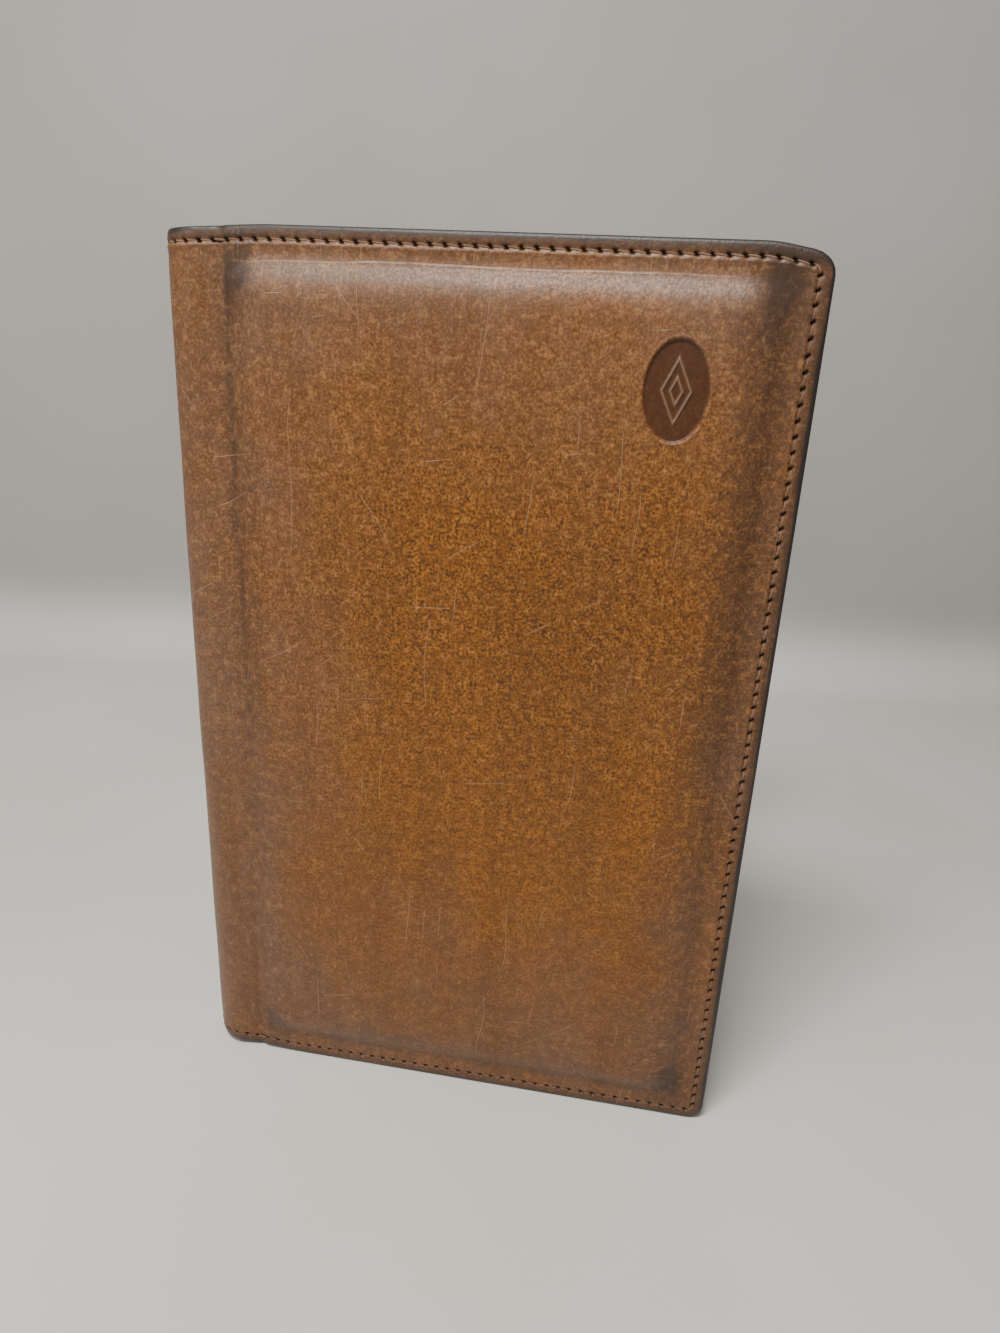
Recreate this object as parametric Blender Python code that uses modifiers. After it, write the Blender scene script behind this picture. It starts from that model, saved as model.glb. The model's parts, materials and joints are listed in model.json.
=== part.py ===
"""A leather writing folio for a 5 x 8 inch pad: two padded covers on a rounded spine, standing part open.

Frame: metres, +Z up the folio's height, origin under the middle of its bounding box. The spine is at -X,
the free edges of the covers at +X, the front cover at -Y and the back cover at +Y.

Each cover is laid out as in the closed folio, in the frame of an empty on its hinge line: x runs from the
hinge line to the free edge, z up, and a depth is a distance from the closed folio's middle plane, so that
larger depths lie further out. The empty is then turned by REST_OPENING.
"""

import math

import bmesh
import bpy
from mathutils import Matrix

MM = 0.001

# Driving dimensions
HEIGHT = 240 * MM
COVER_WIDTH = 143 * MM  # hinge line to free edge
CORNER_RADIUS = 5 * MM
SPINE_RADIUS = 8.75 * MM  # outside of the rounded spine, and depth of a cover's margin
REST_OPENING = math.radians(15)  # of each cover, from closed
TOUCH = 0.15 * MM  # gap between layers that lie on each other

# Outer leather of a cover
LEATHER = 2 * MM
MARGIN_DEPTH = SPINE_RADIUS  # outer face of the stitched margin
LEATHER_INNER_DEPTH = MARGIN_DEPTH - LEATHER
HINGE_DEPTH = MARGIN_DEPTH - LEATHER / 2
HINGE_GAP = 1.3 * MM  # hinge line to the edge of the rigid spine leather
PANEL_RISE = 3.4 * MM  # how far the padded panel stands above the margin
PANEL_DEPTH = MARGIN_DEPTH + PANEL_RISE
PANEL_X = (6 * MM, COVER_WIDTH - 9 * MM)
PANEL_Z = (9 * MM, HEIGHT - 8 * MM)
PANEL_CORNER = 6 * MM
EDGE_ROUND = 0.5 * MM
PANEL_ROUND = 2 * MM
CUT_CLEARANCE = 0.3 * MM

# Stitching round the edge
STITCH_INSET = 3.2 * MM
THREAD_RADIUS = 0.35 * MM
CHANNEL_WIDTH = 1.1 * MM
CHANNEL_DEPTH = 0.75 * MM
THREAD_DEPTH = MARGIN_DEPTH - THREAD_RADIUS
THREAD_START = 1 * MM

# Blank oval stamp on the front cover
STAMP_WIDTH = 14.5 * MM
STAMP_HEIGHT = 22.3 * MM
STAMP_FROM_EDGE = 30.7 * MM
STAMP_FROM_TOP = 31.6 * MM
STAMP_DEPTH = 0.6 * MM

# Stiffening inside each padded panel
BOARD = 1.5 * MM
FOAM = 1.6 * MM

# Layers on the inside of the covers
LINING = 0.8 * MM
LINING_DEPTH = LEATHER_INNER_DEPTH - TOUCH  # outer face
LINING_INSET = 0.3 * MM
LINING_START = 0.5 * MM
LINING_INNER_DEPTH = LINING_DEPTH - LINING
POCKET_INSET = 0.5 * MM

DOCUMENT_POCKET = 0.9 * MM
DOCUMENT_POCKET_START = 5 * MM
DOCUMENT_POCKET_TOP = 205 * MM

CARD_LEATHER = 0.7 * MM
CARD_X = (23 * MM, 119 * MM)
CARD_BOTTOM = 40 * MM
CARD_TOPS = {"card_slot_upper": 126 * MM, "card_slot_middle": 112 * MM, "card_slot_lower": 98 * MM}

# Writing pad, 5 x 8 inches, and the panel that its backboard slips behind
PAD_WIDTH = 127 * MM
PAD_HEIGHT = 203 * MM
PAD_START = 10 * MM
PAD_BOTTOM = 12 * MM
PAD_BACKBOARD = 0.9 * MM
PAD_SHEETS = 4 * MM
PAD_BINDING = 0.4 * MM
BINDING_DROP = 18 * MM
PAD_PANEL = 1 * MM
PAD_PANEL_START = 4 * MM
PAD_PANEL_TOP = 185 * MM
PAD_SLOT_CLEARANCE = 0.6 * MM

# Spine layers, from the outside in, and the pen loop in the gutter
SPINE_LEATHER = 1.5 * MM
SPINE_REINFORCEMENT = 0.5 * MM
SPINE_LINING = 0.7 * MM
SPINE_CENTRE_X = -HINGE_GAP
LOOP_RADIUS = 5.4 * MM
LOOP_WALL = 0.7 * MM
LOOP_Z = (100 * MM, 140 * MM)
ARC_STEPS = 16

FRONT, BACK = -1, 1
CUTTER_REACH = 5 * MM  # how far a cutter runs past what it cuts

# The pad panel's inner free corner reaches furthest in +X, and the spine in -X.
PAD_PANEL_INNER_DEPTH = LINING_INNER_DEPTH - PAD_BACKBOARD - PAD_PANEL - 2 * TOUCH
FAR_X = (COVER_WIDTH - POCKET_INSET) * math.cos(REST_OPENING) + (
    HINGE_DEPTH - PAD_PANEL_INNER_DEPTH
) * math.sin(REST_OPENING)
ROW_X = -(SPINE_CENTRE_X - SPINE_RADIUS + FAR_X) / 2


def clear_scene():
    for obj in list(bpy.data.objects):
        bpy.data.objects.remove(obj, do_unlink=True)


def new_collection(name):
    collection = bpy.data.collections.new(name)
    bpy.context.scene.collection.children.link(collection)
    return collection


def new_material(name, colour, roughness, metallic=0.0):
    material = bpy.data.materials.new(name)
    material.use_nodes = True
    shader = material.node_tree.nodes["Principled BSDF"]
    shader.inputs["Base Color"].default_value = (*colour, 1.0)
    shader.inputs["Roughness"].default_value = roughness
    shader.inputs["Metallic"].default_value = metallic
    return material


def new_object(name, data, collection, parent, location=(0, 0, 0)):
    obj = bpy.data.objects.new(name, data)
    collection.objects.link(obj)
    obj.parent = parent
    obj.location = location
    return obj


def make_cutter(obj):
    obj.hide_render = True
    obj.display_type = "WIRE"
    return obj


# Outlines, as lists of (x, z) points


def arc(x, z, radius, start, end, steps=4):
    """Points on a circle about (x, z), from one angle to another in degrees."""
    angles = [math.radians(start + (end - start) * i / steps) for i in range(steps + 1)]
    return [(x + radius * math.cos(a), z + radius * math.sin(a)) for a in angles]


def rounded_rectangle(x, z, near_radius, far_radius):
    """Counterclockwise outline. near_radius rounds the corners by the spine, far_radius those at the free edge."""
    points = []
    for cx, cz, radius, start in (
        (x[0] + near_radius, z[0] + near_radius, near_radius, 180),
        (x[1] - far_radius, z[0] + far_radius, far_radius, 270),
        (x[1] - far_radius, z[1] - far_radius, far_radius, 0),
        (x[0] + near_radius, z[1] - near_radius, near_radius, 90),
    ):
        points += arc(cx, cz, radius, start, start + 90) if radius > 0 else [(cx, cz)]
    return points


def seam(start_x, outward=0.0):
    """The stitch line of a cover, from the spine along the bottom, up the free edge and back along the top."""
    inset = STITCH_INSET - outward
    radius = CORNER_RADIUS - inset
    low, high, far = inset + radius, HEIGHT - inset - radius, COVER_WIDTH - inset - radius
    return [
        (start_x, inset),
        *arc(far, low, radius, 270, 360),
        *arc(far, high, radius, 0, 90),
        (start_x, HEIGHT - inset),
    ]


def half_ring(outer, inner):
    """The C section of a spine layer, round the spine's centre line and open towards +X."""
    return arc(SPINE_CENTRE_X, 0, outer, 90, 270, ARC_STEPS) + arc(
        SPINE_CENTRE_X, 0, inner, 270, 90, ARC_STEPS
    )


# Solids


def extruded(name, points, thickness, collection, parent):
    """A flat outline in the local XY plane with a thickness about it along Z, as a mesh with welded caps."""
    curve = bpy.data.curves.new(name, "CURVE")
    curve.dimensions = "2D"
    curve.fill_mode = "BOTH"
    curve.extrude = thickness / 2
    spline = curve.splines.new("POLY")
    spline.points.add(len(points) - 1)
    for point, (x, y) in zip(spline.points, points):
        point.co = (x, y, 0, 1)
    spline.use_cyclic_u = True
    flat = new_object(name + "_outline", curve, collection, None)
    bpy.context.view_layer.update()
    graph = bpy.context.evaluated_depsgraph_get()
    mesh = bpy.data.meshes.new_from_object(flat.evaluated_get(graph))
    bpy.data.objects.remove(flat)
    bpy.data.curves.remove(curve)
    body = bmesh.new()
    body.from_mesh(mesh)
    bmesh.ops.remove_doubles(body, verts=body.verts, dist=0.001 * MM)
    bmesh.ops.recalc_face_normals(body, faces=body.faces)
    body.to_mesh(mesh)
    body.free()
    return new_object(name, mesh, collection, parent)


def upright_plate(name, points, depths, cover, collection):
    """A plate of (x, z) outline between two depths of a cover."""
    plate = extruded(name, points, depths[1] - depths[0], collection, cover.hinge)
    plate.data.transform(Matrix.Rotation(math.pi / 2, 4, "X"))
    plate.location.y = cover.side * (sum(depths) / 2 - HINGE_DEPTH)
    return plate


def block(name, x, z, depths, cover, collection):
    """A box between two x, two z and two depths of a cover."""
    mesh = bpy.data.meshes.new(name)
    body = bmesh.new()
    bmesh.ops.create_cube(body, size=1)
    size = (x[1] - x[0], depths[1] - depths[0], z[1] - z[0])
    bmesh.ops.scale(body, vec=size, verts=body.verts)
    body.to_mesh(mesh)
    body.free()
    middle_y = cover.side * (sum(depths) / 2 - HINGE_DEPTH)
    return new_object(name, mesh, collection, cover.hinge, (sum(x) / 2, middle_y, sum(z) / 2))


def turned_ring(name, radii, z, collection, parent, location):
    """A ring about a vertical axis, between two radii and two heights."""
    mesh = bpy.data.meshes.new(name)
    body = bmesh.new()
    corners = [(radii[1], z[1]), (radii[1], z[0]), (radii[0], z[0]), (radii[0], z[1])]
    verts = [body.verts.new((x, 0, height)) for x, height in corners]
    for i, vert in enumerate(verts):
        body.edges.new((vert, verts[(i + 1) % len(verts)]))
    body.to_mesh(mesh)
    body.free()
    ring = new_object(name, mesh, collection, parent, location)
    screw = ring.modifiers.new("turn", "SCREW")
    screw.axis = "Z"
    screw.angle = 2 * math.pi
    screw.steps = screw.render_steps = 2 * ARC_STEPS
    screw.use_merge_vertices = True
    screw.merge_threshold = 0.001 * MM
    return ring


def thread(name, points, collection, parent, location=(0, 0, 0)):
    """A run of sewing thread through (x, y, z) points."""
    curve = bpy.data.curves.new(name, "CURVE")
    curve.dimensions = "3D"
    curve.bevel_depth = THREAD_RADIUS
    curve.bevel_resolution = 2
    curve.use_fill_caps = True
    spline = curve.splines.new("POLY")
    spline.points.add(len(points) - 1)
    for point, place in zip(spline.points, points):
        point.co = (*place, 1)
    return new_object(name, curve, collection, parent, location)


def bevel(obj, width, segments=2):
    modifier = obj.modifiers.new("rounded_edges", "BEVEL")
    modifier.width = width
    modifier.segments = segments
    modifier.limit_method = "ANGLE"
    modifier.angle_limit = math.radians(60)


def boolean(obj, other, operation):
    modifier = obj.modifiers.new(other.name, "BOOLEAN")
    modifier.operation = operation
    modifier.object = other
    make_cutter(other)


class Cover:
    """One side of the folio: which way its depths run, and the empty on its hinge line."""

    def __init__(self, name, side, parts, cutters, root):
        self.name, self.side = name, side
        self.parts, self.cutters = parts, cutters
        self.hinge = new_object(name + "_hinge", None, parts, root, (0, side * HINGE_DEPTH, 0))
        self.hinge.rotation_euler.z = side * REST_OPENING

    def plate(self, name, points, depths, material):
        plate = upright_plate(name, points, depths, self, self.parts)
        plate.data.materials.append(material)
        return plate

    def block(self, name, x, z, depths, material):
        solid = block(name, x, z, depths, self, self.parts)
        solid.data.materials.append(material)
        return solid


def make_outer_leather(cover, material):
    """The moulded outer leather: a flat margin round a raised panel that is hollow behind."""
    outline = rounded_rectangle((0, COVER_WIDTH), (0, HEIGHT), 0, CORNER_RADIUS)
    leather = cover.plate(
        cover.name + "_outer_leather", outline, (LEATHER_INNER_DEPTH, MARGIN_DEPTH), material
    )
    bevel(leather, EDGE_ROUND)

    panel_outline = rounded_rectangle(PANEL_X, PANEL_Z, PANEL_CORNER, PANEL_CORNER)
    panel_foot = LEATHER_INNER_DEPTH + LEATHER / 4
    panel = upright_plate(
        cover.name + "_raised_panel", panel_outline, (panel_foot, PANEL_DEPTH), cover, cover.cutters
    )
    bevel(panel, PANEL_ROUND, 3)
    boolean(leather, panel, "UNION")

    hollow_x = (PANEL_X[0] + LEATHER, PANEL_X[1] - LEATHER)
    hollow_z = (PANEL_Z[0] + LEATHER, PANEL_Z[1] - LEATHER)
    hollow_corner = PANEL_CORNER - LEATHER
    hollow = upright_plate(
        cover.name + "_hollow",
        rounded_rectangle(hollow_x, hollow_z, hollow_corner, hollow_corner),
        (LEATHER_INNER_DEPTH - CUTTER_REACH, PANEL_DEPTH - LEATHER),
        cover,
        cover.cutters,
    )
    boolean(leather, hollow, "DIFFERENCE")

    half = CHANNEL_WIDTH / 2
    channel = upright_plate(
        cover.name + "_stitch_channel",
        seam(-CUTTER_REACH, half) + seam(-CUTTER_REACH, -half)[::-1],
        (MARGIN_DEPTH - CHANNEL_DEPTH, MARGIN_DEPTH + CUTTER_REACH / 4),
        cover,
        cover.cutters,
    )
    boolean(leather, channel, "DIFFERENCE")
    return leather


def make_stamp(cover, leather):
    """The shallow oval pressed into the front panel."""
    mesh = bpy.data.meshes.new("oval_stamp")
    body = bmesh.new()
    bmesh.ops.create_cone(
        body, cap_ends=True, segments=48, radius1=0.5, radius2=0.5, depth=2 * STAMP_DEPTH
    )
    bmesh.ops.scale(body, vec=(STAMP_WIDTH, STAMP_HEIGHT, 1), verts=body.verts)
    bmesh.ops.rotate(body, matrix=Matrix.Rotation(math.pi / 2, 3, "X"), verts=body.verts)
    body.to_mesh(mesh)
    body.free()
    place = (
        COVER_WIDTH - STAMP_FROM_EDGE,
        cover.side * (PANEL_DEPTH - HINGE_DEPTH),
        HEIGHT - STAMP_FROM_TOP,
    )
    oval = new_object("oval_stamp", mesh, cover.cutters, cover.hinge, place)
    boolean(leather, oval, "DIFFERENCE")


def make_stiffening(cover, board_material, foam_material):
    """The board and the foam that fill the hollow of the padded panel."""
    inset = LEATHER + CUT_CLEARANCE
    outline = rounded_rectangle(
        (PANEL_X[0] + inset, PANEL_X[1] - inset),
        (PANEL_Z[0] + inset, PANEL_Z[1] - inset),
        PANEL_CORNER - inset,
        PANEL_CORNER - inset,
    )
    board_depth = LEATHER_INNER_DEPTH + TOUCH / 2
    foam_depth = board_depth + BOARD + TOUCH / 2
    cover.plate(
        cover.name + "_board", outline, (board_depth, board_depth + BOARD), board_material
    )
    cover.plate(cover.name + "_foam_pad", outline, (foam_depth, foam_depth + FOAM), foam_material)


def make_lining(cover, material):
    outline = rounded_rectangle(
        (LINING_START, COVER_WIDTH - LINING_INSET),
        (LINING_INSET, HEIGHT - LINING_INSET),
        0,
        CORNER_RADIUS - LINING_INSET,
    )
    cover.plate(cover.name + "_lining", outline, (LINING_INNER_DEPTH, LINING_DEPTH), material)


def make_cover_thread(cover, material):
    y = cover.side * (THREAD_DEPTH - HINGE_DEPTH)
    path = [(x, y, z) for x, z in seam(THREAD_START)]
    run = thread(cover.name + "_thread", path, cover.parts, cover.hinge)
    run.data.materials.append(material)


def pocket_outline(start_x, top):
    """A pocket panel that is sewn in with the cover's edge and open along its top."""
    far = COVER_WIDTH - POCKET_INSET
    radius = CORNER_RADIUS - POCKET_INSET
    return [
        (start_x, POCKET_INSET),
        *arc(far - radius, POCKET_INSET + radius, radius, 270, 360),
        (far, top),
        (start_x, top),
    ]


def make_front_pockets(cover, material):
    """The document pocket, with three stepped card slots sewn on it."""
    depth = LINING_INNER_DEPTH - TOUCH
    cover.plate(
        "document_pocket",
        pocket_outline(DOCUMENT_POCKET_START, DOCUMENT_POCKET_TOP),
        (depth - DOCUMENT_POCKET, depth),
        material,
    )
    depth -= DOCUMENT_POCKET + TOUCH
    for name, top in CARD_TOPS.items():
        cover.block(name, CARD_X, (CARD_BOTTOM, top), (depth - CARD_LEATHER, depth), material)
        depth -= CARD_LEATHER + TOUCH


def make_pad_panel(cover, material):
    """The panel that holds the pad: hollow behind for the backboard, closed at its sides and foot."""
    outer_depth = LINING_INNER_DEPTH - TOUCH
    slot_depth = PAD_PANEL_INNER_DEPTH + PAD_PANEL
    panel = cover.plate(
        "pad_panel",
        pocket_outline(PAD_PANEL_START, PAD_PANEL_TOP),
        (PAD_PANEL_INNER_DEPTH, outer_depth),
        material,
    )
    slot = block(
        "pad_slot",
        (PAD_START - PAD_SLOT_CLEARANCE, PAD_START + PAD_WIDTH + PAD_SLOT_CLEARANCE),
        (PAD_BOTTOM - PAD_SLOT_CLEARANCE, PAD_PANEL_TOP + CUTTER_REACH),
        (slot_depth, outer_depth + CUTTER_REACH),
        cover,
        cover.cutters,
    )
    boolean(panel, slot, "DIFFERENCE")


def make_pad(cover, paper, card, tape):
    """The writing pad: its backboard lies behind the pad panel and its sheets in front."""
    x = (PAD_START, PAD_START + PAD_WIDTH)
    z = (PAD_BOTTOM, PAD_BOTTOM + PAD_HEIGHT)
    back = LINING_INNER_DEPTH - TOUCH
    front = PAD_PANEL_INNER_DEPTH - TOUCH
    cover.block("pad_backboard", x, z, (back - PAD_BACKBOARD, back), card)
    cover.block("pad_sheets", x, z, (front - PAD_SHEETS, front), paper)
    profile_top = z[1] + TOUCH + PAD_BINDING
    binding = cover.block(
        "pad_binding",
        x,
        (z[1] - BINDING_DROP, profile_top),
        (front - PAD_SHEETS - TOUCH - PAD_BINDING, back),
        tape,
    )
    space = block(
        "binding_space",
        (x[0] - CUTTER_REACH, x[1] + CUTTER_REACH),
        (z[1] - BINDING_DROP - CUTTER_REACH, z[1] + TOUCH),
        (front - PAD_SHEETS - TOUCH, back + CUTTER_REACH),
        cover,
        cover.cutters,
    )
    boolean(binding, space, "DIFFERENCE")


def make_spine_layer(name, outer, inner, z, parts, root, material):
    layer = extruded(name, half_ring(outer, inner), z[1] - z[0], parts, root)
    layer.location.z = sum(z) / 2
    layer.data.materials.append(material)
    return layer


def make_spine(parts, cutters, root, materials):
    """The rounded spine: leather, a reinforcing strip, a lining, its stitching and the pen loop."""
    leather = make_spine_layer(
        "spine_leather",
        SPINE_RADIUS,
        SPINE_RADIUS - SPINE_LEATHER,
        (0, HEIGHT),
        parts,
        root,
        materials["leather"],
    )
    bevel(leather, EDGE_ROUND)
    outer = SPINE_RADIUS - SPINE_LEATHER - TOUCH
    inner_z = (LINING_INSET, HEIGHT - LINING_INSET)
    for name, thickness, material in (
        ("spine_reinforcement", SPINE_REINFORCEMENT, "card"),
        ("spine_lining", SPINE_LINING, "lining"),
    ):
        make_spine_layer(name, outer, outer - thickness, inner_z, parts, root, materials[material])
        outer -= thickness + TOUCH

    centre = (SPINE_CENTRE_X, 0, 0)
    half = CHANNEL_WIDTH / 2
    for end, z in (("bottom", STITCH_INSET), ("top", HEIGHT - STITCH_INSET)):
        channel = turned_ring(
            "spine_stitch_channel_" + end,
            (SPINE_RADIUS - CHANNEL_DEPTH, SPINE_RADIUS + CUTTER_REACH),
            (z - half, z + half),
            cutters,
            root,
            centre,
        )
        boolean(leather, channel, "DIFFERENCE")
        path = arc(SPINE_CENTRE_X, 0, SPINE_RADIUS - THREAD_RADIUS, 95, 265, ARC_STEPS)
        run = thread("spine_thread_" + end, [(x, y, z) for x, y in path], parts, root)
        run.data.materials.append(materials["thread"])

    loop_x = SPINE_CENTRE_X - (outer - LOOP_RADIUS)
    radii = (LOOP_RADIUS - LOOP_WALL, LOOP_RADIUS)
    loop = turned_ring("pen_loop", radii, LOOP_Z, parts, root, (loop_x, 0, 0))
    loop.data.materials.append(materials["lining"])


def main():
    clear_scene()
    parts = new_collection("leather_folio")
    cutters = new_collection("cutters")
    root = new_object("folio_root", None, parts, None, (ROW_X, 0, 0))
    materials = {
        "leather": new_material("tan_leather", (0.36, 0.16, 0.055), 0.42),
        "lining": new_material("brown_lining", (0.16, 0.075, 0.035), 0.6),
        "thread": new_material("tan_thread", (0.42, 0.24, 0.11), 0.7),
        "card": new_material("greyboard", (0.36, 0.33, 0.28), 0.9),
        "foam": new_material("white_foam", (0.75, 0.73, 0.68), 0.95),
        "paper": new_material("white_paper", (0.84, 0.83, 0.78), 0.8),
        "tape": new_material("pad_tape", (0.12, 0.05, 0.035), 0.6),
    }
    for name, side in (("front", FRONT), ("back", BACK)):
        cover = Cover(name, side, parts, cutters, root)
        leather = make_outer_leather(cover, materials["leather"])
        make_stiffening(cover, materials["card"], materials["foam"])
        make_lining(cover, materials["lining"])
        make_cover_thread(cover, materials["thread"])
        if side == FRONT:
            make_stamp(cover, leather)
            make_front_pockets(cover, materials["leather"])
        else:
            make_pad_panel(cover, materials["leather"])
            make_pad(cover, materials["paper"], materials["card"], materials["tape"])
    make_spine(parts, cutters, root, materials)


main()
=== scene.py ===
"""The looks of a tan leather writing folio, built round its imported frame.

A cover is described by flat coordinates, as the hide would lie if it were unwrapped from the spine: run is
the distance from the middle of the spine to a point, and up is its height. section() wraps that plane round
the spine and out along the cover, and a lift is a distance out of the hide's outer face.
"""

import json
import math

import bmesh
import bpy
import numpy as np
from mathutils import Matrix, Vector


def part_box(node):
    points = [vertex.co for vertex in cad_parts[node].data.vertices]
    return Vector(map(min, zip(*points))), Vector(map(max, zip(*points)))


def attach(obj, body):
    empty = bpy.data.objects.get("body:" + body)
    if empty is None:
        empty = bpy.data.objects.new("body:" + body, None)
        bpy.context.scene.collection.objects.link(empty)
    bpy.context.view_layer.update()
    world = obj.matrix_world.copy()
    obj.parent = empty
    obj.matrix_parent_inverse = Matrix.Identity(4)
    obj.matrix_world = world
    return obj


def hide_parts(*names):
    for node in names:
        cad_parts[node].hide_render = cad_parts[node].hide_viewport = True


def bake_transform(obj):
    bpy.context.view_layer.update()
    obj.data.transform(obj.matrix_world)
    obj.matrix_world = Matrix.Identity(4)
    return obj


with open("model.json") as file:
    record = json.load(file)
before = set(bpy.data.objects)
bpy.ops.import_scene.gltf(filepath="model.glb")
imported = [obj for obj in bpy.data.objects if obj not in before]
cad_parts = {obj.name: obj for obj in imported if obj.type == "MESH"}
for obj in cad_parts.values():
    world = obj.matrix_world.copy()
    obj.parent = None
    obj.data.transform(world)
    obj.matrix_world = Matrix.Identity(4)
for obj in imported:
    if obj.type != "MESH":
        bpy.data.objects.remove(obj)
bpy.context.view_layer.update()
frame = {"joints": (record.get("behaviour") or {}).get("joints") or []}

MM = 0.001


def mm(*lengths):
    return tuple(length * MM for length in lengths)


JOINTS = {joint["name"]: joint for joint in frame["joints"]}

# Sizes that follow from the frame
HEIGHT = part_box("spine_leather")[1].z
SPINE_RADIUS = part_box("spine_leather")[1].y
SPINE_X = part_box("spine_leather")[0].x + SPINE_RADIUS
HINGE_X = JOINTS["front_hinge"]["pos_m"][0]
OPENING = -math.radians(JOINTS["front_hinge"]["range_deg"][0])
HALF_LEATHER = SPINE_RADIUS - abs(JOINTS["front_hinge"]["pos_m"][1])
FREE_EDGE_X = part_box("front_outer_leather")[1].x
COVER_WIDTH = (FREE_EDGE_X - HINGE_X - HALF_LEATHER * math.sin(OPENING)) / math.cos(OPENING)

# The run of the hide, from the middle of the spine to the free edge
RUN_ARC = SPINE_RADIUS * math.pi / 2
RUN_HINGE = RUN_ARC + HINGE_X - SPINE_X
RUN_END = RUN_HINGE + COVER_WIDTH

# The hide
LEATHER = 2 * HALF_LEATHER
SPINE_LEATHER = 1.45 * MM
CORNER = 5 * MM
EDGE_REACH = 2 * MM  # how far in from the edge its rounding begins
EDGE_SQUARENESS = 2.3
INNER_EDGE_REACH = 0.8 * MM
SPINE_TOP_WEAR = 1.5 * MM  # how far the hide has worn down at the ends of the spine
SPINE_FOOT_WEAR = 2 * MM
WEAR_REACH = 15 * MM
CORNER_DROOP = 1.8 * MM
SPINE_SWELL = 0.7 * MM

# The padded panel, in distances from the hinge line and from the cover's edges
PANEL_FROM_HINGE = 5.5 * MM
PANEL_FROM_EDGE = 8.6 * MM
PANEL_FROM_TOP = 7.6 * MM
PANEL_FROM_FOOT = 8.8 * MM
PANEL_CORNER = 9 * MM
PANEL_RISE = 2.9 * MM
PANEL_SHOULDER = 11 * MM
PANEL_CROWN = 0.4 * MM
PANEL_FOOT_ROUND = 0.18 * MM
PAD_CELLS = (32, 56)
PAD_FRAMES = 20
PAD_SLACK = 0.3 * MM
PAD_SWELL_CAP = 12 * MM

# The hinge crease
CREASE_FROM_HINGE = 3.8 * MM
CREASE_HALF_WIDTH = 2.2 * MM
CREASE_DEPTH = 0.55 * MM

# Stitching
STITCH_INSET = 3.2 * MM
STITCH_LENGTH = 3.47 * MM
THREAD_RADIUS = 0.28 * MM
GROOVE_DEPTH = 0.16 * MM
GROOVE_HALF_WIDTH = 0.8 * MM
HOLE_DEPTH = 0.85 * MM

# The blank stamp
STAMP_RADII = mm(7.25, 11.15)
STAMP_FROM_EDGE = 30.7 * MM
STAMP_FROM_TOP = 31.6 * MM
STAMP_DEPTH = 0.6 * MM
LOZENGE_RADII = mm(3.3, 7)
LOZENGE_LINE = 0.24 * MM

# height of the fold under the padding's top shoulder, and of its painted highlight
WRINKLE_HIGHLIGHT_UP = HEIGHT - 7.4 * MM

MESH_STEP = 1.75 * MM
FINER_STEPS = mm(0.9, 0.45, 0.23)  # near the seam and the stamp

# Colours of the hide
GOLDEN = (0.32, 0.108, 0.004)
GOLDEN_DARK = (0.2, 0.065, 0.003)
# pinker tone of the margins, which at the top also stands in for a painted sheen
ROSE = (0.196, 0.097, 0.05)
ROSE_DARK = (0.128, 0.065, 0.036)
UMBER = (0.1, 0.034, 0.004)
SPECK = (0.042, 0.015, 0.003)
PALE = (0.43, 0.2, 0.065)
# dark of smudges, and of painted shade
SMUDGE_AND_SHADE = (0.035, 0.021, 0.014)
# pale of scratches and the stamp's mark, and of the fold's painted highlight
SCRATCH_AND_HIGHLIGHT = (0.5, 0.32, 0.19)
STAMPED = (0.04, 0.012, 0.003)
EDGE_BLACK = (0.026, 0.019, 0.016)

# Scratches in the hide: direction in degrees from upright, spacing, length, and how few of them show
SCRATCHES = (
    (4, 5 * MM, 30 * MM, 0.6),
    (-33, 7 * MM, 18 * MM, 0.65),
    (58, 8 * MM, 17 * MM, 0.63),
    (82, 6 * MM, 20 * MM, 0.65),
)

# The stage
WALL_DISTANCE = 0.36
WALL_CURVE = 0.04
WALL_TONE = 0.6
FLOOR = (0.78, 0.76, 0.72)

# Under the hide, as lifts from its outer face
PAD_FLOOR = -0.45 * MM
CORE_LIFTS = mm(-0.55, -2.05)
STIFFENER_LIFTS = mm(-1.62, -2.06)

# Inside the covers, as lifts from the hide's outer face
LINING_LIFTS = mm(-2.18, -2.93)
LINING_INSET = 0.3 * MM
POCKET_LIFTS = mm(-3.1, -4)
CARD_LIFTS = (mm(-4.15, -4.85), mm(-5, -5.7), mm(-5.85, -6.55))
CARD_TOPS = mm(126, 112, 98)
CARD_FOOT = 40 * MM
CARD_ACROSS = mm(23, 119)
PAD_PANEL_LIFTS = mm(-4.15, -5.15)
PAD_PANEL_PINCH = 1.1 * MM
POCKET_TOP = 205 * MM
PAD_PANEL_TOP = 185 * MM
PAD_ACROSS = mm(10, 137)
PAD_UP = mm(12, 215)
BACKBOARD_LIFTS = mm(-3.25, -3.95)
PAPER_LIFTS = mm(-5.45, -9.3)
PAPER_SHEETS = 26
RULED_SPACING = 7.1 * MM
INNER_THREAD_RISE = 0.14 * MM
PAD_HEM_THREAD_RISE = 0.22 * MM
TAPE = 0.2 * MM
TAPE_DROP = 18 * MM


def add_object(name, data):
    added = bpy.data.objects.new(name, data)
    bpy.context.scene.collection.objects.link(added)
    return added


# --- the flat pattern


def spaced(start, end, step):
    return list(np.linspace(start, end, max(round((end - start) / step), 1) + 1))


def smooth_step(x):
    x = np.clip(x, 0, 1)
    return x * x * (3 - 2 * x)


def bell(x, width):
    return np.exp(-((x / width) ** 2))


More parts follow.
